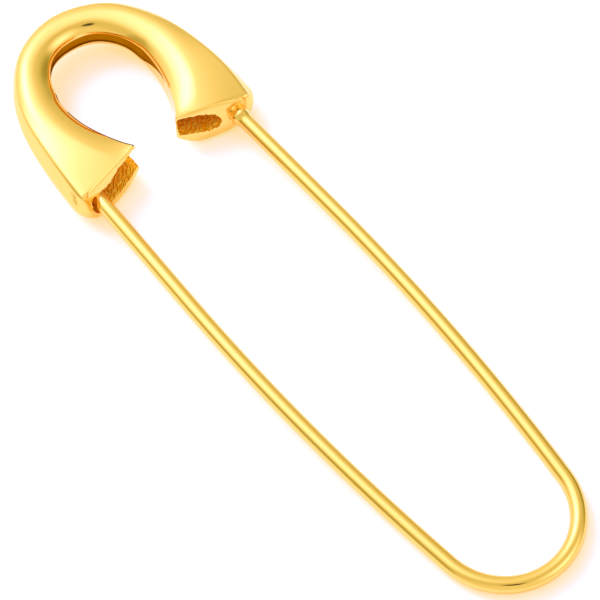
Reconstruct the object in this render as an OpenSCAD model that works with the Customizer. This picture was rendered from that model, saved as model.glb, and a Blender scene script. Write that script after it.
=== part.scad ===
/* [Wire] */
// Diameter of the spring wire
wire_d = 1.5; // [1.3:0.05:1.6]
// Radius of the round end loop, at the wire's centre
loop_r = 6.35; // [6:0.05:6.6]
// Angle by which each arm still opens where it leaves the loop
flare = 7.2; // [6.8:0.1:7.5]
// Radius of the long bow in each arm
bow_r = 232; // [225:1:240]
// Angle by which the straight end of each arm leans in towards the head
toe_in = 1; // [0.6:0.1:1.4]
// How far the fixed arm goes into its bore
fixed_deep = 3.5; // [2.5:0.1:4]
// How far the free arm goes into its catch
free_deep = 3.5; // [2.5:0.1:4]
// Length of the point on the free arm
point_l = 2.2; // [1.5:0.1:3]

/* [Head] */
// How far the end faces slope out towards the loop, for each millimetre down
end_slope = 0.4; // [0.2:0.05:0.5]
// Radius that eases each end face into the side and the belly
end_round = 1.5; // [0.5:0.1:1.6]
// Inset of the crease from the widest line of the side
crease_in = 0.85; // [0.7:0.05:1.1]
// How far the crease is rounded off over the roof, and how far down
crease_round = 0.35; // [0.2:0.05:0.5]
// How much further the roof falls to the crease at the end of the leg with the fixed arm
arm_drop = 0.3; // [0:0.05:0.4]
// How far the edge of the roof stands in over the wall of the arch
edge_in = 0.12; // [0.08:0.01:0.2]
// How far the wall of the arch ends below the edge of the roof
edge_down = 0.2; // [0.1:0.05:0.3]
// Height of the rim at the foot of the wall of the arch
rim_h = 0.15; // [0.1:0.05:0.3]
// How far the wall of the arch is set in over its rim
recess = 0.12; // [0.05:0.01:0.15]
// Place of the lowest line of the belly across the head, as a part of its width
belly_at = 0.42; // [0.35:0.01:0.5]
// How far the inner walls stand in below the roof at the end faces
wall_in = 0.2; // [0:0.05:0.35]
// Place of the lowest line across the leg with the catch, at its end
catch_belly_at = 0.6; // [0.4:0.05:0.65]
// How far the leg with the catch leans out, for each millimetre down at its end
catch_lean = 0.14; // [0:0.02:0.2]
// How much higher the belly is at the end of the leg with the catch
catch_belly_up = 0.05; // [0:0.05:0.2]

/* [Hollows] */
// Thickness of the inner wall at the top of each hollow
hollow_wall = 0.15; // [0.15:0.05:0.3]
// Width of each hollow at its mouth
hollow_w = 4.2; // [3.5:0.1:4.2]
// Height of the hollow in the leg that holds the fixed arm
hollow_h = 1.75; // [1.6:0.05:1.8]
// Rise of each hollow from its middle to the inner wall
hollow_tilt = 0.3; // [0.2:0.05:0.4]
// Depth of each hollow behind its end face
hollow_deep = 4; // [3:0.1:5]
// Height of the open catch for the free arm
catch_h = 1.75; // [1.7:0.05:1.85]
// Depth of the catch and of the bore behind the end faces
catch_deep = 4.5; // [4.2:0.1:5]
// Play of the fixed arm in its bore, all round
bore_play = 0.02; // [0.02:0.01:0.05]

/* [Rest] */
// Angle by which the loop's end hangs lower than the head when the pin lies on its legs and loop
rest_tilt = 1.225; // [1.1:0.005:1.4]

/* [Finish] */
// Sections from the crown to the end of a leg
section_n = 26; // [20:1:32]
// Points along each quarter of a section
quarter_n = 8; // [6:1:10]

/* [Hidden] */
HEAD_GOLD = [0.94, 0.78, 0.38];
WIRE_GOLD = [0.90, 0.72, 0.32];

// Sections of the head from the crown to the end of a leg, in the plane of the wire: the plan points of
// its inner and outer side with their shifts towards the fixed arm, the top and foot of the wall of the
// arch, the roof with the roll of its inner part, its crest as a part of the width and its drop towards
// the crease, the heights of the widest line and the belly, and a column that fades in the crease.
// inner_x, inner_y, inner_shift, outer_x, outer_y, outer_shift, wall_top, wall_low, roof, roll, crest,
// drop, side, belly, crease
SECTIONS = [
    [-35.86, 0.00,  0.13, -39.18,  0.00,  0.31, 0.95, -0.60, 1.81, 3.2, 0.56, 0.10, 1.05, -1.60, 0.0],
    [-35.17, 2.47,  0.17, -38.08,  3.92,  0.36, 0.96, -0.50, 1.83, 2.7, 0.58, 0.10, 1.10, -1.60, 0.0],
    [-33.17, 4.13,  0.26, -36.16,  6.41,  0.37, 0.88, -0.60, 1.86, 2.4, 0.60, 0.10, 0.90, -1.65, 0.1],
    [-31.50, 4.68,  0.29, -33.35,  8.34,  0.32, 0.78, -0.80, 1.87, 2.7, 0.58, 0.10, 0.60, -1.70, 0.3],
    [-30.40, 4.86,  0.24, -30.35,  9.47,  0.28, 0.74, -0.90, 1.88, 2.8, 0.55, 0.12, 0.35, -1.78, 0.6],
    [-27.45, 4.57,  0.21, -27.20, 10.07,  0.27, 0.76, -0.80, 1.92, 2.4, 0.49, 0.13, 0.25, -1.85, 0.9],
    [-24.10, 3.47,  0.15, -23.50, 10.36,  0.20, 1.20, -0.55, 1.93, 1.7, 0.38, 0.13, 0.28, -1.90, 1.0],
    [-21.80, 2.35, -0.03, -19.70, 10.28, -0.02, 1.74, -0.25, 1.74, 1.4, 0.26, 0.08, 0.45, -1.90, 1.0],
];
INNER_X = 0;
INNER_Y = 1;
INNER_SHIFT = 2;
OUTER_X = 3;
OUTER_Y = 4;
OUTER_SHIFT = 5;
WALL_TOP = 6;
WALL_LOW = 7;
ROOF = 8;
ROLL = 9;
CREST = 10;
DROP = 11;
SIDE = 12;
BELLY = 13;
CREASE = 14;
LAST = len(SECTIONS) - 1;

wire_r = wire_d / 2;
loop_x = 26.5;
function polar(r, a) = [r * cos(a), r * sin(a)];
// End of the loop's arc, centre of the bow, and end of the bow on the arm at the side of +Y
loop_end = [loop_x, 0] + polar(loop_r, 90 - flare);
bow_centre = loop_end - polar(bow_r, 90 - flare);
bow_end = bow_centre + polar(bow_r, 90 + toe_in);

// Value of a column at a station between the sections, on a smooth curve through them
function cell(i, c) = i < 0 ? (c == INNER_Y || c == OUTER_Y ? -1 : 1) * SECTIONS[-i][c]
    : i > LAST ? 2 * SECTIONS[LAST][c] - SECTIONS[LAST - 1][c]
    : SECTIONS[i][c];
function smooth(a, b, c, d, f) = b + f * ((c - a) / 2
    + f * (a - 2.5 * b + 2 * c - 0.5 * d + f * (1.5 * (b - c) + (d - a) / 2)));
function at(t, c) = let (i = min(floor(t), LAST - 1))
    smooth(cell(i - 1, c), cell(i, c), cell(i + 1, c), cell(i + 2, c), t - i);

// Plan points of the leg at one side, with its own side taken as +Y
function inner(t, side) = [at(t, INNER_X), at(t, INNER_Y) + side * at(t, INNER_SHIFT)];
function outer(t, side) = [at(t, OUTER_X), at(t, OUTER_Y) + side * at(t, OUTER_SHIFT)];
function width(t, side) = norm(outer(t, side) - inner(t, side));
function across(t, side) = (outer(t, side) - inner(t, side)) / width(t, side);
function blend(a, b, f) = a * (1 - f) + b * f;

// From 0 to 1 over the last two sections of a leg
function ending(t) = pow(max(0, (t - LAST + 2) / 2), 2);
function catch_ending(t, side) = side < 0 ? ending(t) : 0;

// Place of a profile point [s, z] at station t. The sections lean more and more towards the end face,
// and those of the leg with the catch also outwards.
function place(t, side, p) = let (
        e = across(t, side),
        down = at(t, ROOF) - p[1],
        aside = p[0] + catch_ending(t, side) * catch_lean * down,
        xy = inner(t, side) + aside * e + ending(t) * end_slope * down * [e[1], -e[0]])
    [xy[0], side * xy[1], p[1]];

// Profile of a section of full width w, from the edge of the roof round the arch over the roof, down the
// side, round the belly and up the wall of the arch. The cut draws in its side, and its belly by a share.
EDGE_POWER = 3;
SIDE_POWER = 0.85;
BELLY_SHARE = 0.35;
function roof_point(t, w, f) = let (crest = at(t, CREST) * w, s = blend(edge_in, crest, f))
    [s, blend(at(t, ROOF), at(t, WALL_TOP), pow(1 - s / crest, at(t, ROLL)))];

// The shoulder from the crest to the widest line: round at the crown, creased along the legs. The
// creased one is a flat plate, an arc over the crease and the upper side.
PLATE_SHARE = 0.5;
CREASE_SHARE = 0.25;
CREASE_RUN = 0.5;
CREASE_FALL = 1.15;
CREASE_GAP = 0.1;
function round_shoulder(t, w, cut, f) = [
    blend(at(t, CREST) * w, w - cut, sin(90 * f)),
    blend(at(t, SIDE), at(t, ROOF), cos(90 * f))];
function creased_shoulder(t, w, cut, drop, f) = let (
        corner = w - max(crease_in, cut + CREASE_GAP),
        top = at(t, ROOF) - drop,
        arc_end = PLATE_SHARE + CREASE_SHARE)
    f < PLATE_SHARE
    ? let (g = f / PLATE_SHARE)
        [blend(at(t, CREST) * w, corner - crease_round, g), at(t, ROOF) - drop * g * g]
    : f < arc_end
    ? let (g = (f - PLATE_SHARE) / CREASE_SHARE)
        [corner + crease_round * (CREASE_RUN * g * g - (1 - g) * (1 - g)), top - crease_round * g * g]
    : let (g = (f - arc_end) / (1 - arc_end))
        [blend(w - cut, corner + crease_round * CREASE_RUN, pow(1 - g, CREASE_FALL)),
         blend(top - crease_round, at(t, SIDE), g)];
function roof_drop(t, side) = at(t, DROP) + (side > 0 ? arm_drop * ending(t) : 0);
function shoulder_point(t, side, w, cut, f) = blend(
    round_shoulder(t, w, cut, f),
    creased_shoulder(t, w, cut, roof_drop(t, side), f),
    min(1, max(0, at(t, CREASE))));

function lowest(t, side, w, cut) = [
    w * blend(belly_at, catch_belly_at, catch_ending(t, side)),
    at(t, BELLY) + catch_belly_up * catch_ending(t, side) + BELLY_SHARE * cut];
function side_point(t, w, cut, low, f) = [
    blend(low[0], w - cut, pow(cos(90 * f), SIDE_POWER)),
    blend(at(t, SIDE), low[1], pow(sin(90 * f), SIDE_POWER))];
function belly_point(t, low, foot, f) = [
    blend(low[0], foot, f),
    blend(low[1], at(t, WALL_LOW), pow(f, EDGE_POWER))];

// Points of the wall of the arch from its foot up. It is set in over its rim, and the rim grows up to
// the roof along each leg.
RIM_GROWS = 3.6;
RIM_MEETS = 5.4;
LIP = 0.04;
function smooth_step(f) = let (g = min(1, max(0, f))) g * g * (3 - 2 * g);
function wall_points(t, foot) = let (
        low = at(t, WALL_LOW),
        top = at(t, WALL_TOP) - edge_down,
        grown = smooth_step((t - RIM_GROWS) / (RIM_MEETS - RIM_GROWS)),
        rim = blend(low + rim_h, top - 3 * LIP, grown),
        deep = recess * (1 - grown),
        heights = [low, rim, rim + LIP, top - LIP, top],
        depths = [0, 0, deep, deep, 0])
    [for (i = [0:len(heights) - 1])
        [foot * (top - heights[i]) / (top - low) + depths[i], heights[i]]];

function profile(t, side, cut) = let (
        w = width(t, side),
        low = lowest(t, side, w, cut),
        foot = -wall_in * ending(t) - side * at(t, INNER_SHIFT) * abs(across(t, side)[1]))
    concat(
        [for (i = [0:quarter_n - 1]) roof_point(t, w, i / quarter_n)],
        [for (i = [0:quarter_n - 1]) shoulder_point(t, side, w, cut, i / quarter_n)],
        [for (i = [0:quarter_n - 1]) side_point(t, w, cut, low, i / quarter_n)],
        [for (i = [0:quarter_n - 1]) belly_point(t, low, foot, i / quarter_n)],
        wall_points(t, foot));

// Stations of the sections in one half, each with the inset of its round edge
ROUND_N = 6;
row_gap = norm(outer(LAST, 0) - outer(LAST - 1, 0));
round_start = LAST - end_round / row_gap;
STATIONS = [
    for (i = [0:section_n - 1]) [round_start * i / section_n, 0],
    for (i = [0:ROUND_N]) let (a = 90 * i / ROUND_N)
        [LAST - end_round * (1 - sin(a)) / row_gap, end_round * (1 - cos(a))]];
function skin_ring(side, station) = [
    for (p = profile(station[0], side, station[1])) place(station[0], side, p)];

// Hollow in a leg: the profile points drawn in to a slot that is square beside the wall of the arch,
// round towards the arm and smaller with depth. It leans with the wall, about the height LEAN_Z.
HOLLOW_N = 6;
HOLLOW_RISE = 0.25;
SQUARE_POWER = 8;
ROUND_POWER = 2.4;
NARROWS = 0.4;
LOWERS = 0.3;
LEAN = 0.08;
LEAN_Z = 1;
function drawn_in(p, centre, half) = let (
        d = [(p[0] - centre[0]) / half[0], (p[1] - centre[1]) / half[1]],
        power = d[0] < 0 ? SQUARE_POWER : ROUND_POWER,
        r = pow(pow(abs(d[0]), power) + pow(abs(d[1]), power), -1 / power))
    [d[0] * r, d[1] * r];
function hollow_point(p, q, half, centre) = let (
        d = drawn_in(p, centre, half),
        z = centre[1] + half[1] * d[1] - hollow_tilt * (1 - q) * d[0])
    [centre[0] + half[0] * d[0] + LEAN * (z - LEAN_Z), z];
function hollow_ring(side, q) = let (
        t = LAST - hollow_deep / row_gap * q,
        half = [hollow_w / 2 * (1 - NARROWS * q), hollow_h / 2 * (1 - LOWERS * q)],
        centre = [hollow_wall + half[0], HOLLOW_RISE * (1 - q)])
    [for (p = profile(t, side, q == 0 ? end_round : 0)) place(t, side, hollow_point(p, q, half, centre))];

function mean(points) = [for (k = [0:2]) sum([for (p = points) p[k]]) / len(points)];
function sum(v, i = 0) = i < len(v) ? v[i] + sum(v, i + 1) : 0;

// Faces of a tube of rings, each with the same number of points, closed by a point at each end
function tube_faces(rings, n) = [
    for (r = [0:rings - 2], i = [0:n - 1]) let (j = (i + 1) % n)
        [r * n + i, r * n + j, (r + 1) * n + j, (r + 1) * n + i],
    for (i = [0:n - 1]) [rings * n, (i + 1) % n, i],
    for (i = [0:n - 1]) [rings * n + 1, (rings - 1) * n + i, (rings - 1) * n + (i + 1) % n]];

module horseshoe() {
    left = [for (q = [HOLLOW_N:-1:0]) hollow_ring(-1, q / HOLLOW_N)];
    right = [for (q = [0:HOLLOW_N]) hollow_ring(1, q / HOLLOW_N)];
    skin = [
        for (i = [len(STATIONS) - 1:-1:1]) skin_ring(-1, STATIONS[i]),
        for (i = [0:len(STATIONS) - 1]) skin_ring(1, STATIONS[i])];
    rings = concat(left, skin, right);
    points = concat([for (ring = rings) for (p = ring) p], [mean(rings[0]), mean(rings[len(rings) - 1])]);
    polyhedron(points, tube_faces(len(rings), len(rings[0])));
}

// Frame of one straight arm end: origin on the wire's axis at the end face, +Z along the arm into the
// head and +X away from the other arm. The cutters in it start well outside the face.
face_x = -19.6;
OUTSIDE = 3;
module on_arm(side) {
    y = bow_end[1] + (bow_end[0] - face_x) * -tan(toe_in);
    translate([face_x, side * y, 0])
        rotate([0, 0, side * toe_in])
            rotate([0, -90, 0])
                rotate([0, 0, side * 90])
                    children();
}

module bore() {
    on_arm(1)
        translate([0, 0, -OUTSIDE])
            cylinder(h = catch_deep + OUTSIDE, r = wire_r + bore_play, $fn = 48);
}

// The catch: a round seat for the free arm, open across the hollow and out through the inner wall.
// x and z of its outline, from the seat along the floor to the inner wall and back under the roof
CATCH = [
    [0, -0.88], [-1.3, -1.0], [-2.3, -0.95], [-3.5, -0.8], [-4.1, -0.64], [-4.75, -0.3], [-4.95, -0.25],
    [-5.1, -0.6], [-5.15, -1.2], [-6.6, -1.2], [-6.6, 1.3], [-5.3, 1.3], [-5.0, 1.15], [-4.6, 1.0],
    [-3.9, 0.9], [-3.2, 0.78], [-2.4, 0.7], [-1.1, 0.68], [-0.5, 0.72], [0, 0.88],
];
module catch_slot() {
    on_arm(-1)
        translate([0, 0, -OUTSIDE])
            linear_extrude(catch_deep + OUTSIDE) {
                circle(d = catch_h, $fn = 48);
                polygon(CATCH);
            }
}

// The whole pin lies on the ends of its two legs and on the loop, with its middle over the origin
function rest_z(p) = p[2] * cos(rest_tilt) - p[0] * sin(rest_tilt);
legs_low = min([for (side = [-1, 1], s = STATIONS) for (p = skin_ring(side, s)) rest_z(p)]);
loop_low = rest_z([loop_x + loop_r, 0, 0]) - wire_r;
MIDDLE_X = 2.78;
module lay() {
    translate([MIDDLE_X, 0, -min(legs_low, loop_low)])
        rotate([0, rest_tilt, 0])
            children();
}

module head() {
    color(HEAD_GOLD)
        lay()
            difference() {
                horseshoe();
                bore();
                catch_slot();
            }
}

// The lengths of the wire stop just short of each other, and a collar hardly thicker than the wire
// joins them. Each joint is given by its place and by the angle from the centre of its arc.
SHORT = 0.05;
COLLAR_D = wire_d + 0.02;
COLLAR_L = 0.2;
POINT_D = wire_d / 4;
module arc(r, from, to) {
    a = SHORT / r * 180 / PI;
    rotate_extrude(angle = to - from - 2 * a, start = from + a, $fn = 360)
        translate([r, 0])
            circle(d = wire_d, $fn = 32);
}
module collar(p, angle, side) {
    translate([p[0], side * p[1], 0])
        rotate([90, 0, side * angle])
            cylinder(h = COLLAR_L, d = COLLAR_D, center = true, $fn = 32);
}

module arm(side, deep, point) {
    // The bow, then the straight end
    collar(loop_end, 90 - flare, side);
    translate([bow_centre[0], side * bow_centre[1], 0])
        if (side > 0) arc(bow_r, 90 - flare, 90 + toe_in);
        else arc(bow_r, -90 - toe_in, -90 + flare);
    collar(bow_end, 90 + toe_in, side);
    start = (bow_end[0] - face_x) / cos(toe_in) - SHORT;
    on_arm(side) {
        translate([0, 0, -start])
            cylinder(h = start + deep - point, d = wire_d, $fn = 32);
        if (point > 0)
            translate([0, 0, deep - point])
                cylinder(h = point, d1 = wire_d, d2 = POINT_D, $fn = 32);
    }
}

module pin_wire() {
    color(WIRE_GOLD)
        lay() {
            translate([loop_x, 0, 0])
                arc(loop_r, flare - 90, 90 - flare);
            arm(1, fixed_deep, 0);
            arm(-1, free_deep, point_l);
        }
}

head();
pin_wire();
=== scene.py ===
from math import cos, pi, sin

import bmesh
import bpy
import numpy as np
from numpy import radians
from mathutils import Matrix, Vector, noise


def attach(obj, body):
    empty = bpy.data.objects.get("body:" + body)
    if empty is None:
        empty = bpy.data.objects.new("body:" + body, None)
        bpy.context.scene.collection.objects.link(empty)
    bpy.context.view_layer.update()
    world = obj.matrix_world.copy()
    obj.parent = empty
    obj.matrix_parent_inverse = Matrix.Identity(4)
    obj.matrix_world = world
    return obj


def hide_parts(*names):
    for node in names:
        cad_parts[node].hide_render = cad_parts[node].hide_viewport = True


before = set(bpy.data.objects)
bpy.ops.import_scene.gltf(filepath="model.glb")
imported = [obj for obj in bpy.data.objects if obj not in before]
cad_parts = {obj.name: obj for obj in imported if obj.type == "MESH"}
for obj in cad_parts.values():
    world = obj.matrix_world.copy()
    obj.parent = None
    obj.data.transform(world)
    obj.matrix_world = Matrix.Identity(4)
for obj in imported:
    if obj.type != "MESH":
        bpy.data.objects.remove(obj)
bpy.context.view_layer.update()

MM = 0.001
ROUND = 2 * pi

# The pin lies tilted, with its end loop lower than its head. Pieces are modelled in the plane of the
# wire, in millimetres, and laid down at the end.
REST_TILT = radians(1.225)
MIDDLE_X = 2.78
LIFT = 1.4523
LAY = Matrix.Scale(MM, 4) @ Matrix.Translation((MIDDLE_X, 0, LIFT)) @ Matrix.Rotation(REST_TILT, 4, "Y")


# Hand tools

def deselect():
    bpy.ops.object.select_all(action="DESELECT")


def piece_from_active(name):
    piece = bpy.context.object
    piece.name = name
    piece.data.name = name
    return piece


def select(piece):
    """Makes a piece the only selected one and the active one."""
    deselect()
    piece.select_set(True)
    bpy.context.view_layer.objects.active = piece


def take(piece):
    select(piece)
    bpy.ops.object.mode_set(mode="EDIT")


def leave():
    bpy.ops.object.mode_set(mode="OBJECT")


def place_selected(points):
    """Moves the selected points, in their own order, to the places given."""
    mesh = bmesh.from_edit_mesh(bpy.context.object.data)
    for vertex, point in zip([v for v in mesh.verts if v.select], points, strict=True):
        vertex.co = point
    bmesh.update_edit_mesh(bpy.context.object.data)


def lofted(name, rings):
    """A closed skin drawn from ring to ring: a circle is extruded again and again and shaped each time."""
    deselect()
    bpy.ops.mesh.primitive_circle_add(vertices=len(rings[0]), radius=1, fill_type="NGON")
    piece = piece_from_active(name)
    take(piece)
    bpy.ops.mesh.select_all(action="SELECT")
    place_selected(rings[0])
    for ring in rings[1:]:
        bpy.ops.mesh.extrude_region_move()
        place_selected(ring)
    bpy.ops.mesh.select_all(action="SELECT")
    bpy.ops.mesh.normals_make_consistent(inside=False)
    leave()
    return piece


def cut_out(piece, tool):
    """Takes the tool's form out of the piece. The cut keeps the tool's material."""
    select(piece)
    cut = piece.modifiers.new("cut", "BOOLEAN")
    cut.operation = "DIFFERENCE"
    cut.solver = "MANIFOLD"
    cut.object = tool
    bpy.ops.object.modifier_apply(modifier=cut.name)
    bpy.data.objects.remove(tool)


def lay_down(piece, sharp_from):
    """Lays a piece down where the pin rests and smooths it, up to the angle at which an edge is sharp."""
    piece.data.transform(LAY)
    select(piece)
    bpy.ops.object.shade_smooth_by_angle(angle=radians(sharp_from))


# Materials

class Value:
    """A socket of a material, with Python's operators for its maths."""

    def __init__(self, finish, socket):
        self.finish = finish
        self.socket = socket

    def maths(self, operation, *others, **settings):
        return self.finish.add("ShaderNodeMath", {"operation": operation, **settings}, [self, *others])

    def __add__(self, other):
        return self.maths("ADD", other)

    def __radd__(self, other):
        return self.maths("ADD", other)

    def __mul__(self, other):
        return self.maths("MULTIPLY", other)

    def __rmul__(self, other):
        return self.maths("MULTIPLY", other)

    def __sub__(self, other):
        return self.maths("SUBTRACT", other)

    def __rsub__(self, other):
        return self.finish.add("ShaderNodeMath", {"operation": "SUBTRACT"}, [other, self])

    def clamped(self):
        return self.maths("MULTIPLY", 1.0, use_clamp=True)

    def step(self, low, high):
        """0 below low, 1 above high and a smooth change between them."""
        smooth = {"interpolation_type": "SMOOTHSTEP"}
        return self.finish.add("ShaderNodeMapRange", smooth, [self, low, high])


class Finish:
    """The nodes of one material or of the studio around the pin."""

    def __init__(self, owner):
        owner.use_nodes = True
        self.tree = owner.node_tree
        self.tree.nodes.clear()

    def add(self, kind, settings, values, out=0):
        """A new node with its settings and its inputs, by name or in order. Gives back one output."""
        node = self.tree.nodes.new(kind)
        for name, value in settings.items():
            setattr(node, name, value)
        pairs = values.items() if isinstance(values, dict) else enumerate(values)
        for name, value in pairs:
            if isinstance(value, Value):
                self.tree.links.new(value.socket, node.inputs[name])
            else:
                node.inputs[name].default_value = value
        return Value(self, node.outputs[out]) if node.outputs else None

    def mixed(self, share, low, high):
        """A colour between two colours."""
        values = {0: share, 6: (*low, 1), 7: (*high, 1)}
        return self.add("ShaderNodeMix", {"data_type": "RGBA"}, values, out=2)

    def noise(self, place, scale, detail=2.0, roughness=0.5):
        return self.add("ShaderNodeTexNoise", {}, {
            "Vector": place, "Scale": scale, "Detail": detail, "Roughness": roughness})


GOLD = (1.0, 0.60, 0.14)
GOLD_PALE = (1.0, 0.63, 0.16)
GOLD_RAW = (1.0, 0.60, 0.05)
GOLD_RAW_DARK = (1.0, 0.38, 0.0)
# Dark ambers painted on the set-in wall of the arch: painted shade for the shaded floor and gold that it
# reflects
GOLD_WALL_SHADE = (0.42, 0.160, 0.0)
GOLD_WALL_SHADE_PALER = (0.52, 0.215, 0.0)
# A near black that paints a dark line of shade along the catch leg's inner edge
GOLD_EDGE_SHADE = (0.16, 0.07, 0.0)


def polished_gold(name, smooth, cloudy, grain):
    """Plated gold from the polishing wheel: faint clouds in its gloss and hair-fine marks."""
    material = bpy.data.materials.new(name)
    gold = Finish(material)
    place = gold.add("ShaderNodeTexCoord", {}, {}, out="Object")
    clouds = gold.noise(place, 160.0, 3.0)
    drawn = gold.add("ShaderNodeMapping", {}, {"Vector": place, "Scale": grain})
    marks = gold.noise(drawn, 900.0, 4.0, 0.7)
    skin = gold.add("ShaderNodeBsdfPrincipled", {}, {
        "Base Color": gold.mixed(clouds, GOLD, GOLD_PALE),
        "Metallic": 1.0,
        "Roughness": smooth + cloudy * clouds + 0.03 * marks,
        "Normal": gold.add("ShaderNodeBump", {}, {
            "Strength": 0.04, "Distance": 0.00002, "Height": marks}),
    })
    gold.add("ShaderNodeOutputMaterial", {}, [skin])
    return material


def cast_gold(name):
    """Gold as it came out of the mould: grainy, wavy and dull inside the hollows."""
    material = bpy.data.materials.new(name)
    gold = Finish(material)
    place = gold.add("ShaderNodeTexCoord", {}, {}, out="Object")
    grain = gold.noise(place, 3200.0, 3.0, 0.7)
    waves = gold.add("ShaderNodeTexWave", {"bands_direction": "DIAGONAL"}, {
        "Vector": place, "Scale": 1150.0, "Distortion": 9.0, "Detail": 2.0, "Detail Scale": 1.5})
    height = (0.5 * grain + 0.5 * waves).clamped()
    skin = gold.add("ShaderNodeBsdfPrincipled", {}, {
        "Base Color": gold.mixed(height.step(0.35, 0.65), GOLD_RAW_DARK, GOLD_RAW),
        "Metallic": 0.35,
        "Specular Tint": (1.0, 0.6, 0.1, 1.0),
        "Roughness": 0.25 + 0.2 * grain,
        "Normal": gold.add("ShaderNodeBump", {}, {
            "Strength": 0.9, "Distance": 0.00012, "Height": height}),
    })
    gold.add("ShaderNodeOutputMaterial", {}, [skin])
    return material


def painted_shade_gold(name, deep, paler_shade):
    """Satin gold with painted shade, as on the wall of the arch: its deep colour stands in for the shaded
    floor and gold that the wall reflects, clouded towards a paler shade.
    """
    material = bpy.data.materials.new(name)
    gold = Finish(material)
    place = gold.add("ShaderNodeTexCoord", {}, {}, out="Object")
    clouds = gold.noise(place, 500.0, 3.0)
    grain = gold.noise(place, 4000.0, 2.0)
    skin = gold.add("ShaderNodeBsdfPrincipled", {}, {
        "Base Color": gold.mixed(clouds.step(0.35, 0.8), deep, paler_shade),
        "Metallic": 1.0,
        "Specular Tint": (0.5, 0.35, 0.1, 1.0),
        "Roughness": 0.3 + 0.15 * clouds,
        "Normal": gold.add("ShaderNodeBump", {}, {"Strength": 0.2, "Distance": 0.00003, "Height": grain}),
    })
    gold.add("ShaderNodeOutputMaterial", {}, [skin])
    return material


HEAD_GOLD = polished_gold("head gold", 0.09, 0.05, (1.0, 1.0, 1.0))
WIRE_GOLD = polished_gold("wire gold", 0.08, 0.04, (0.08, 1.0, 1.0))
CAST_GOLD = cast_gold("cast gold")
# The set-in wall of the arch gets painted shade: a dark amber for the shaded floor and gold that it
# reflects
WALL_SHADE_GOLD = painted_shade_gold("wall gold with painted shade", GOLD_WALL_SHADE, GOLD_WALL_SHADE_PALER)
# The catch leg's inner edge gets a painted dark line of shade for the dark reflection along it
EDGE_SHADE_GOLD = painted_shade_gold("edge gold with painted shade", GOLD_EDGE_SHADE, GOLD_WALL_SHADE)


# The head

# Sections of the head from the crown to the end of a leg, in the plane of the wire: the plan points of
# its inner and outer side with their shifts towards the fixed arm, the top and foot of the inner wall,
# the roof with the roll of its inner part, its crest as a share of the width and its drop towards the
# crease, the heights of the widest line and the belly, and a last column that fades in the crease.
# inner_x, inner_y, inner_shift, outer_x, outer_y, outer_shift, wall_top, wall_low, roof, roll, crest,
# drop, side, belly, crease
SECTIONS = np.array([
    [-35.86, 0.00,  0.13, -39.18,  0.00,  0.31, 0.95, -0.60, 1.81, 3.2, 0.56, 0.10, 1.05, -1.60, 0.0],
    [-35.17, 2.47,  0.17, -38.08,  3.92,  0.36, 0.96, -0.50, 1.83, 2.7, 0.58, 0.10, 1.10, -1.60, 0.0],
    [-33.17, 4.13,  0.26, -36.16,  6.41,  0.37, 0.88, -0.60, 1.86, 2.4, 0.60, 0.10, 0.90, -1.65, 0.1],
    [-31.50, 4.68,  0.29, -33.35,  8.34,  0.32, 0.78, -0.80, 1.87, 2.7, 0.58, 0.10, 0.60, -1.70, 0.3],
    [-30.40, 4.86,  0.24, -30.35,  9.47,  0.28, 0.74, -0.90, 1.88, 2.8, 0.55, 0.12, 0.35, -1.78, 0.6],
    [-27.45, 4.57,  0.21, -27.20, 10.07,  0.27, 0.76, -0.80, 1.92, 2.4, 0.49, 0.13, 0.25, -1.85, 0.9],
    [-24.10, 3.47,  0.15, -23.50, 10.36,  0.20, 1.20, -0.55, 1.93, 1.7, 0.38, 0.13, 0.28, -1.90, 1.0],
    [-21.80, 2.35, -0.03, -19.70, 10.28, -0.02, 1.74, -0.25, 1.74, 1.4, 0.26, 0.08, 0.45, -1.90, 1.0],
])
INNER_Y, OUTER_X, OUTER_Y = 1, 3, 4
LAST = len(SECTIONS) - 1
# Where across a leg its belly is lowest, on the catch leg's end too, and how full its side turns under
BELLY_AT, CATCH_BELLY_AT = 0.42, 0.6
BELLY_TURN = 0.85
# The crease beside the roof: its way in from the side, its rounding, how hollow the side is below it,
# and the shares of the shoulder's points that end the roof and the rounding
CREASE_IN, CREASE_ROUND, CREASE_FALL = 0.85, 0.35, 1.15
CREASE_CLEAR = 0.1
ROOF_PART, ROUND_PART = 0.5, 0.75
# How far the end faces slope, the wall's foot moves in and the catch leg leans out and lifts its belly
END_SLOPE = 0.4
WALL_IN = 0.3
CATCH_LEAN = 0.14
CATCH_BELLY_UP = 0.05
# The edge of the roof round the arch, and the wall below it: set in a little over a narrow rim, which
# grows along each leg, between these stations, until it ends just short of the roof. The set-in part
# begins and ends with a low step
EDGE_IN, EDGE_DOWN = 0.12, 0.2
RIM, RECESS = 0.15, 0.12
RIM_GROWS, RIM_MEETS = 3.6, 5.4
RIM_SHORT, RECESS_STEP = 0.06, 0.02
# The roof of the leg with the fixed arm falls further towards its crease
ARM_DROP = 0.3
# The round outer corner of each end, which the belly follows by a share, and the polished edge round
# the end face, with the degrees at which each gets a ring
END_ROUND = 1.5
BELLY_SHARE = 0.35
EDGE_ROUND = 0.5
END_TURNS = (12, 24, 36, 48, 60, 70, 80)
EDGE_TURNS = (0, 18, 36, 54, 72, 90)
# Rings of half the head before its round end, and points of each quarter and of the wall in a ring
STATIONS = 57
QUARTER, WALL = 16, 8
# Shares of the polished edge at points of a section: at the arch, on the roof, at its crease, round
# the side and the belly, and up the wall of the arch
EDGE_SHARES = (
    [0, 0.5 * QUARTER, 1.5 * QUARTER, 1.8 * QUARTER, 4 * QUARTER, 4 * QUARTER + WALL],
    [0.2, 0.6, 0.6, 0.1, 0.1, 0.1])


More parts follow.
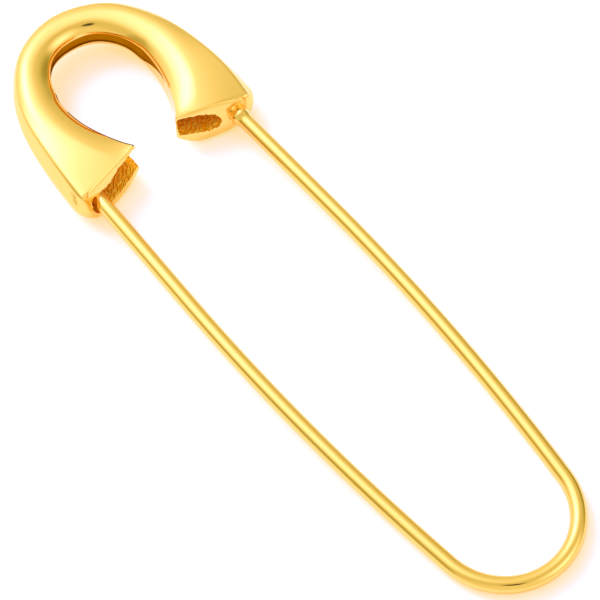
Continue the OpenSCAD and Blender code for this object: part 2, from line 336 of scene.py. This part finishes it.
def smooth_columns(rows):
    """Curves without kinks through the mirrored rows: a natural cubic spline for each column."""
    mirror = np.ones(rows.shape[1])
    mirror[[INNER_Y, OUTER_Y]] = -1
    whole = np.vstack([(rows * mirror)[:0:-1], rows])
    n = len(whole)
    pull = np.zeros((n, n))
    bend = np.zeros_like(whole)
    pull[0, 0] = pull[-1, -1] = 1
    for i in range(1, n - 1):
        pull[i, i - 1:i + 2] = 1, 4, 1
        bend[i] = 6 * (whole[i - 1] - 2 * whole[i] + whole[i + 1])
    bend = np.linalg.solve(pull, bend)

    def at(t):
        i = int(min(t, LAST - 1e-9)) + LAST
        f = t - (i - LAST)
        g = 1 - f
        return (g * whole[i] + f * whole[i + 1]
                + ((g ** 3 - g) * bend[i] + (f ** 3 - f) * bend[i + 1]) / 6)
    return at


section_at = smooth_columns(SECTIONS)


def blend(a, b, share):
    return a * (1 - share) + b * share


def smooth_step(f):
    f = min(1.0, max(0.0, f))
    return f * f * (3 - 2 * f)


def ending(t):
    """0 to 1 over the last two sections of a leg."""
    return max(0.0, (t - LAST + 2) / 2) ** 2


class Section:
    """The head's section at one station of one leg: its plan line and its profile."""

    def __init__(self, t, side):
        self.t = t
        (ix, iy, inner_shift, ox, oy, outer_shift, self.wall_top, self.wall_low, self.roof,
         self.roll, self.crest, self.drop, self.side, self.belly, self.crease) = section_at(t)
        self.leg = side
        self.inner = np.array([ix, iy + side * inner_shift])
        outer = np.array([ox, oy + side * outer_shift])
        self.width = np.linalg.norm(outer - self.inner)
        self.across = (outer - self.inner) / self.width
        self.ahead = np.array([self.across[1], -self.across[0]])
        self.ending = ending(t)
        self.catch = self.ending if side < 0 else 0.0
        self.drop += ARM_DROP * self.ending * (side > 0)
        self.foot = -WALL_IN * self.ending - side * inner_shift * abs(self.across[1])
        self.crease = min(1.0, max(0.0, self.crease))

    def place(self, s, z, forward=0.0):
        """A profile point, with the section leaning towards the end face and the catch leg outwards."""
        down = self.roof - z
        aside = s + self.catch * CATCH_LEAN * down
        x, y = self.inner + aside * self.across + (self.ending * END_SLOPE * down + forward) * self.ahead
        return Vector((x, self.leg * y, z))

    def profile(self, cut):
        """Points [s, z] from the edge of the roof round the arch over the roof, down the side, round the
        belly and up the wall of the arch. The cut draws in the side, and the belly by a share of it."""
        quarter = np.arange(QUARTER) / QUARTER
        w = self.width
        low = (w * blend(BELLY_AT, CATCH_BELLY_AT, self.catch),
               self.belly + CATCH_BELLY_UP * self.catch + BELLY_SHARE * cut)
        points = [self.roof_point(blend(EDGE_IN / (self.crest * w), 1, f)) for f in quarter]
        points += [self.shoulder_point(f, cut) for f in quarter]
        points += [(blend(low[0], w - cut, cos(f * pi / 2) ** BELLY_TURN),
                    blend(self.side, low[1], sin(f * pi / 2) ** BELLY_TURN)) for f in quarter]
        points += [(blend(low[0], self.foot, f), blend(low[1], self.wall_low, f ** 3)) for f in quarter]
        return points + self.wall_points()

    def roof_point(self, f):
        """From the edge round the arch at 0 to the crest at 1."""
        return self.crest * self.width * f, blend(self.roof, self.wall_top, (1 - f) ** self.roll)

    def shoulder_point(self, f, cut):
        """From the crest at 0 to the widest line at 1: round, or over the crease where that is there."""
        w = self.width
        crest = self.crest * w
        round_s = blend(crest, w - cut, sin(f * pi / 2))
        round_z = blend(self.side, self.roof, cos(f * pi / 2))
        corner = w - max(CREASE_IN, cut + CREASE_CLEAR)
        top = self.roof - self.drop
        if f < ROOF_PART:
            g = f / ROOF_PART
            sharp_s = blend(crest, corner - CREASE_ROUND, g)
            sharp_z = self.roof - self.drop * g * g
        elif f < ROUND_PART:
            g = (f - ROOF_PART) / (ROUND_PART - ROOF_PART)
            sharp_s = corner - CREASE_ROUND * (1 - g) ** 2 + 0.5 * CREASE_ROUND * g * g
            sharp_z = top - CREASE_ROUND * g * g
        else:
            g = (f - ROUND_PART) / (1 - ROUND_PART)
            sharp_s = blend(w - cut, corner + 0.5 * CREASE_ROUND, (1 - g) ** CREASE_FALL)
            sharp_z = blend(top - CREASE_ROUND, self.side, g)
        return blend(round_s, sharp_s, self.crease), blend(round_z, sharp_z, self.crease)

    def wall_points(self):
        """The wall of the arch from its foot up to the edge of the roof."""
        grown = smooth_step((self.t - RIM_GROWS) / (RIM_MEETS - RIM_GROWS))
        top = self.wall_top - EDGE_DOWN
        rim = blend(self.wall_low + RIM, top - RIM_SHORT, grown)
        deep = RECESS * (1 - grown)
        set_in = np.linspace(rim + RECESS_STEP, top - RECESS_STEP, WALL - 3)
        heights = [self.wall_low, rim, *set_in, top]
        depths = [0, 0, *[deep] * len(set_in), 0]
        return [(blend(self.foot, 0, (z - self.wall_low) / (top - self.wall_low)) + d, z)
                for z, d in zip(heights, depths)]

    def ring(self, cut=0.0, inset=0.0, forward=0.0):
        """The profile in place. For the polished edge it is drawn in by the inset along its normals."""
        flat = np.array(self.profile(cut))
        share = np.interp(np.arange(len(flat)), *EDGE_SHARES)
        if inset:
            along = np.roll(flat, -1, axis=0) - np.roll(flat, 1, axis=0)
            along /= np.linalg.norm(along, axis=1)[:, None]
            flat = flat - inset * share[:, None] * np.stack([-along[:, 1], along[:, 0]], axis=1)
        return [self.place(s, z, forward * part) for (s, z), part in zip(flat, share)]


def head_rings():
    """Rings from the end of the catch leg round the crown to the end of the other leg, both with their
    round corner and polished edge."""
    row_gap = np.linalg.norm((SECTIONS[LAST] - SECTIONS[LAST - 1])[[OUTER_X, OUTER_Y]])
    stations = np.linspace(0, LAST - END_ROUND / row_gap, STATIONS)
    legs = []
    for side in (-1, 1):
        end = Section(LAST, side)
        leg = [Section(t, side).ring() for t in stations]
        for a in radians(END_TURNS):
            section = Section(LAST - END_ROUND * (1 - sin(a)) / row_gap, side)
            leg.append(section.ring(END_ROUND * (1 - cos(a))))
        for a in radians(EDGE_TURNS):
            leg.append(end.ring(END_ROUND, EDGE_ROUND * (1 - cos(a)), -EDGE_ROUND * (1 - sin(a))))
        legs.append(leg)
    return legs[0][:0:-1] + legs[1]


HEAD_GOLDS = [HEAD_GOLD, CAST_GOLD, WALL_SHADE_GOLD, EDGE_SHADE_GOLD]
# Rings from the crown: where the rim has grown over the set-in wall, and where the painted dark line of
# shade along the edge of the catch leg begins and gets wider
WALL_TO, EDGE_FROM, EDGE_WIDE_FROM = 45, 24, 38


def paint_wall_shade(piece, rings):
    """Gives the set-in part of the arch's wall its painted shade, as far as the rim leaves it free, and
    also the edge of the roof along the leg with the catch its painted dark line of shade."""
    count = len(rings[0])
    middle = len(rings) // 2
    for polygon in piece.data.polygons:
        ring = [v // count - middle for v in polygon.vertices]
        point = [v % count for v in polygon.vertices]
        if len(ring) != 4:
            continue
        below_edge = max(ring) <= -EDGE_FROM and set(point) == {0, count - 1}
        above_edge = max(ring) <= -EDGE_WIDE_FROM and set(point) == {0, 1}
        if max(map(abs, ring)) <= WALL_TO and min(point) >= 4 * QUARTER + 1:
            polygon.material_index = HEAD_GOLDS.index(WALL_SHADE_GOLD)
        elif below_edge or above_edge:
            polygon.material_index = HEAD_GOLDS.index(EDGE_SHADE_GOLD)


# The size of the lumps on a cast wall, and its flow lines: how close they are and how they wander
LUMP = 0.35
FLOW_CLOSE, FLOW_WANDER, FLOW_SLOW = 3, 4, 0.6


def rough(piece, depth, seed):
    """Pushes the points of a cutter in and out, so that it leaves a surface rough from casting."""
    offset = Vector((seed, 2 * seed, 3 * seed))
    for vertex in piece.data.vertices:
        place = vertex.co / LUMP + offset
        grain = noise.turbulence(place, 3, False)
        flow = sin(FLOW_CLOSE * place.y + FLOW_WANDER * noise.noise(place * FLOW_SLOW))
        vertex.co += vertex.normal * depth * (grain - 0.5 + 0.5 * flow)


# The hollow of a leg at its mouth, what it loses in width and height towards its end, how high it
# lies, how it leans, and the powers that make its outline square on one side and oval on the other
HOLLOW_WIDE, HOLLOW_HIGH = 4.4, 1.8
HOLLOW_NARROWS, HOLLOW_SINKS = 0.4, 0.3
HOLLOW_UP, HOLLOW_LEAN = 0.25, 0.08
HOLLOW_SQUARE, HOLLOW_OVAL = 7, 2.4
# Its depth in sections, and how its cutter reaches out of the end face: as a share of the depth, and
# the way for a whole share
HOLLOW_DEEP = 1.3
HOLLOW_OUT, HOLLOW_OUT_WAY = 0.12, 4.0
HOLLOW_RINGS, HOLLOW_POINTS = 30, 96
HOLLOW_ROUGH = 0.07


def hollow_outline(a):
    """A point at an angle on an outline that is square on its left and oval on its right."""
    x, z = cos(a), sin(a)
    power = HOLLOW_SQUARE if x < 0 else HOLLOW_OVAL
    r = (abs(x) ** power + abs(z) ** power) ** (-1 / power)
    return x * r, z * r


def hollow(side, rise, seed):
    """Cutter for the hollow of one leg: square beside the inner wall, to which it rises, and oval
    towards the arm."""
    outline = [hollow_outline(ROUND * k / HOLLOW_POINTS) for k in range(HOLLOW_POINTS)]
    rings = []
    for q in np.linspace(-HOLLOW_OUT, 1, HOLLOW_RINGS):
        inside, outside = max(q, 0), -min(q, 0)
        section = Section(LAST - HOLLOW_DEEP * inside, side)
        half_wide = HOLLOW_WIDE / 2 * (1 - HOLLOW_NARROWS * inside)
        half_high = HOLLOW_HIGH / 2 * (1 - HOLLOW_SINKS * inside)
        middle = HOLLOW_UP * (1 - q)
        tilt = rise * (1 - q)
        ring = []
        for x, z in outline:
            s, z = half_wide + half_wide * x, middle + half_high * z - tilt * x
            ring.append(section.place(s + HOLLOW_LEAN * (z - 1), z, HOLLOW_OUT_WAY * outside))
        rings.append(ring)
    tool = lofted("hollow cutter", rings)
    rough(tool, HOLLOW_ROUGH, seed)
    return tool


# The wire: its radius, the middle and radius of the loop, how far the arms flare where they meet it
# and lean inwards at the head, and the radius of their bow between
WIRE_R = 0.75
LOOP_X, LOOP_R = 26.5, 6.35
FLARE, TOE_IN = radians(7.2), radians(1)
BOW_R = 232
loop_end = Vector((LOOP_X + LOOP_R * sin(FLARE), LOOP_R * cos(FLARE), 0))
bow_centre = loop_end - BOW_R * Vector((sin(FLARE), cos(FLARE), 0))
bow_end = bow_centre + BOW_R * Vector((-sin(TOE_IN), cos(TOE_IN), 0))
# Where the arms enter the end faces
FACE_X = -19.6


def arm_frame(side):
    """Origin on the wire at the end face, Z along the arm into the head, X away from the other arm."""
    y = bow_end.y - (bow_end.x - FACE_X) * sin(TOE_IN) / cos(TOE_IN)
    into = Vector((-cos(TOE_IN), -side * sin(TOE_IN), 0))
    out = Vector((-sin(TOE_IN), side * cos(TOE_IN), 0))
    upright = into.cross(out)
    frame_of_arm = Matrix((out, upright, into)).transposed().to_4x4()
    frame_of_arm.translation = (FACE_X, side * y, 0)
    return frame_of_arm


# The way out of the catch in the end face, from below the free arm out past the inner wall and back
# above the arm: out from the arm, and up
CATCH = [
    (-1.3, -1.0), (-2.3, -0.95), (-3.5, -0.8), (-4.1, -0.64), (-4.75, -0.3), (-4.95, -0.25),
    (-5.1, -0.6), (-5.15, -1.1), (-5.6, -1.2), (-6.0, -1.4), (-6.8, -1.7), (-6.8, 1.3),
    (-5.3, 1.3), (-5.0, 1.15), (-4.6, 1.0), (-3.9, 0.9), (-3.2, 0.78), (-2.4, 0.7), (-1.1, 0.68),
    (-0.45, 0.76),
]
# The seat of the free arm: its radius, the stretch of a circle that it covers, and its wider mouth,
# with where that ends and how long it takes to fade
SEAT_R = 0.82
SEAT_FROM, SEAT_TO, SEAT_POINTS = radians(60), radians(-100), 30
MOUTH_WIDER, MOUTH_END, MOUTH_FADE = 0.3, 0.55, 0.5
# How far the cutter reaches out of the end face and into the leg
CATCH_OUT, CATCH_IN, CATCH_RINGS = -3, 4.5, 64
CATCH_GRAIN, CATCH_ROUGH = 0.16, 0.045


def catch_cutter(seed):
    """Cutter for the open catch: a round seat for the free arm with a wider mouth, and the way out."""
    turns = np.linspace(SEAT_FROM, SEAT_TO, SEAT_POINTS)
    seat = [Vector((SEAT_R * cos(a), SEAT_R * sin(a))) for a in turns]
    way = [Vector(p) for p in CATCH]
    outline = []
    for a, b in zip([seat[-1], *way], [*way, seat[0]]):
        steps = max(1, round((b - a).length / CATCH_GRAIN))
        outline += [a.lerp(b, (k + 1) / steps) for k in range(steps)]
    outline = outline[:-1]
    frame_of_arm = arm_frame(-1)
    rings = []
    for z in np.linspace(CATCH_OUT, CATCH_IN, CATCH_RINGS):
        wide = 1 + MOUTH_WIDER * smooth_step((MOUTH_END - z) / MOUTH_FADE)
        ring = [Vector((wide * p.x, wide * p.y, z)) for p in seat]
        ring += [Vector((p.x, p.y, z)) for p in outline]
        rings.append([frame_of_arm @ place for place in ring])
    tool = lofted("catch cutter", rings)
    rough(tool, CATCH_ROUGH, seed)
    return tool


rings_of_head = head_rings()
head = lofted("horseshoe_head", rings_of_head)
for gold in HEAD_GOLDS:
    head.data.materials.append(gold)
# The set-in wall and the catch leg's edge get their painted shade
paint_wall_shade(head, rings_of_head)
left_hollow = hollow(-1, rise=0.25, seed=3.1)
right_hollow = hollow(1, rise=0.42, seed=7.7)
for tool in left_hollow, right_hollow, catch_cutter(seed=5.3):
    tool.data.materials.append(HEAD_GOLD)
    tool.data.materials.append(CAST_GOLD)
    for polygon in tool.data.polygons:
        polygon.material_index = HEAD_GOLDS.index(CAST_GOLD)
    cut_out(head, tool)
lay_down(head, sharp_from=32)
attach(head, "root")
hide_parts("head")


# The wire

# How far the fixed arm reaches into the head, the stretch with fine rings for its bead, and the point
# of the free arm, which is drawn in to this share at each ring
ARM_IN = 3.4
BEAD_STRETCH = 5
POINT_LENGTH, POINT_TAPER = 2.2, 0.72
# Points round the wire, and rings of its stretches in their order along it
WIRE_POINTS = 40
BEAD_RINGS, ARM_RINGS, BOW_RINGS, LOOP_RINGS = 25, 5, 40, 96
FREE_ARM_RINGS, POINT_RINGS = 6, 4


def wire_piece():
    """One length of wire: a circle drawn straight, round the bow, round the loop and back again."""
    deselect()
    start = arm_frame(1)
    bpy.ops.mesh.primitive_circle_add(vertices=WIRE_POINTS, radius=WIRE_R, fill_type="NGON")
    piece = piece_from_active("spring_wire")
    take(piece)
    bpy.ops.mesh.select_all(action="SELECT")
    mesh = bmesh.from_edit_mesh(piece.data)
    bmesh.ops.transform(mesh, matrix=start @ Matrix.Translation((0, 0, ARM_IN)), verts=mesh.verts)
    bmesh.update_edit_mesh(piece.data)

    def onward(way, steps):
        for _ in range(steps):
            bpy.ops.mesh.extrude_region_move(TRANSFORM_OT_translate={"value": way / steps})

    def around(centre, angle, steps):
        bpy.ops.mesh.spin(steps=steps, angle=angle, center=centre, axis=(0, 0, 1))

    straight = Vector((bow_end.x, bow_end.y, 0)) - start @ Vector((0, 0, ARM_IN))
    bead_part = straight * (BEAD_STRETCH / straight.length)
    onward(bead_part, BEAD_RINGS)
    onward(straight - bead_part, ARM_RINGS)
    around(bow_centre, FLARE + TOE_IN, BOW_RINGS)
    around((LOOP_X, 0, 0), pi - 2 * FLARE, LOOP_RINGS)
    around((bow_centre.x, -bow_centre.y, 0), FLARE + TOE_IN, BOW_RINGS)
    back = Vector((-straight.x, straight.y, 0))
    point_share = POINT_LENGTH / back.length
    onward(back * (1 - point_share), FREE_ARM_RINGS)
    for _ in range(POINT_RINGS):
        onward(back * point_share / POINT_RINGS, 1)
        bpy.ops.transform.resize(value=(1, POINT_TAPER, POINT_TAPER))
    bpy.ops.mesh.select_all(action="SELECT")
    bpy.ops.mesh.normals_make_consistent(inside=False)
    leave()
    return piece


# The bead: its place along the arm, half its length, how far it swells, how uneven it is and its grain
BEAD_AT, BEAD_HALF, BEAD_SWELL = -0.55, 0.4, 0.3
BEAD_UNEVEN, BEAD_GRAIN = 0.6, 2.2
# It changes the wire only this far along the fixed arm and this close to its middle line
BEAD_REACH, BEAD_NEAR = 1.5, 1


def raise_bead(piece):
    """The small uneven bead of metal where the fixed arm enters the face of its leg."""
    at_face = arm_frame(1)
    to_face = at_face.inverted()
    for vertex in piece.data.vertices:
        place = to_face @ vertex.co
        if abs(place.z) < BEAD_REACH and place.xy.length < BEAD_NEAR:
            knot = 1 + BEAD_UNEVEN * noise.noise(BEAD_GRAIN * place)
            swell = 1 + BEAD_SWELL * knot * np.exp(-((place.z - BEAD_AT) / BEAD_HALF) ** 2)
            vertex.co = at_face @ Vector((swell * place.x, swell * place.y, place.z))


wire = wire_piece()
raise_bead(wire)
wire.data.materials.append(WIRE_GOLD)
lay_down(wire, sharp_from=50)
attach(wire, "root")
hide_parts("pin_wire")


# Studio

deselect()
bpy.ops.mesh.primitive_plane_add(size=6)
floor = piece_from_active("studio_floor")
# The floor paper glows warm orange and its own colour is bluish, so it reads white in the open and warm
# where shaded: a painted glow that stands in for the light the gold throws onto the floor
floor_paper = bpy.data.materials.new("floor paper")
paper = Finish(floor_paper)
paper.add("ShaderNodeOutputMaterial", {}, [
    paper.add("ShaderNodeBsdfPrincipled", {}, {
        "Base Color": (0.30, 0.40, 0.72, 1), "Roughness": 0.9, "Specular IOR Level": 0.0,
        "Emission Color": (0.76, 0.52, 0.15, 1), "Emission Strength": 1.0})])
floor.data.materials.append(floor_paper)

# The light of the white tent round the pin, its red and its blue beside green, and the light from
# which a lamp looks cool, with the blue that it adds
TENT_LIGHT = 0.8
TENT_RED, TENT_BLUE = 0.97, 0.92
LAMP_CORE, LAMP_BLUE = 1.6, 1.5
# Soft lights and dim places of the tent: where they are, how wide they are at half strength, how soft
# their edge is, all in degrees, and how much light they add.
# azimuth, height, half_width, softness, light
TENT_PLACES = [
    (190, 40, 27, 36, 0.78),
    (176, 47, 11, 9, 0.35),
    (35, 37, 17, 16, 0.76),
    (-106, 18, 18, 7, -0.26),
    (88, 12, 21, 18, -0.42),
    (-17, -18, 69, 12, 0.15),
    (-156, 62, 29, 12, 0.45),
    (-16, 62, 6.5, 2.5, -1.1),
]


def studio_light():
    """A white tent with soft lights. Its dim sides look cream and its lamps cool."""
    world = bpy.data.worlds.new("studio")
    bpy.context.scene.world = world
    tent = Finish(world)
    way = tent.add("ShaderNodeTexCoord", {}, {}, out="Generated")
    light = TENT_LIGHT
    for azimuth, height, half_width, softness, strength in TENT_PLACES:
        flat = cos(radians(height))
        middle = (flat * cos(radians(azimuth)), flat * sin(radians(azimuth)), sin(radians(height)))
        dot = tent.add("ShaderNodeVectorMath", {"operation": "DOT_PRODUCT"}, [way, middle], out=1)
        angle = dot.maths("ARCCOSINE")
        outer, inner = radians(half_width + softness), radians(half_width - softness)
        light = light + strength * angle.step(outer, inner)
    light = light.maths("MAXIMUM", 0.0)
    core = (light - LAMP_CORE).maths("MAXIMUM", 0.0)
    blue = TENT_BLUE * light * light + LAMP_BLUE * core
    colour = tent.add("ShaderNodeCombineColor", {}, [TENT_RED * light, light, blue])
    glow = tent.add("ShaderNodeBackground", {}, [colour, 1.0])
    tent.add("ShaderNodeOutputWorld", {}, [glow])


studio_light()

FILL_PLACE = Vector((-0.42, -0.06, 0.26))
bpy.ops.object.light_add(type="AREA", location=FILL_PLACE)
fill = bpy.context.object
fill.name = "floor fill"
fill.data.shape = "DISK"
fill.data.size = 0.4
fill.data.energy = 4.0
fill.rotation_euler = FILL_PLACE.to_track_quat("Z", "Y").to_euler()
fill.visible_glossy = False

bpy.ops.object.camera_add(
    location=(74.859 * MM, -52.035 * MM, 146.204 * MM),
    rotation=(radians(31.475), radians(1.663), radians(51.589)))
camera = bpy.context.object
camera.name = "photo camera"
camera.data.sensor_width = 36
camera.data.lens = 115.457
camera.data.clip_start = 0.01
camera.data.clip_end = 20
bpy.context.scene.camera = camera
bpy.context.scene.view_settings.view_transform = "Standard"
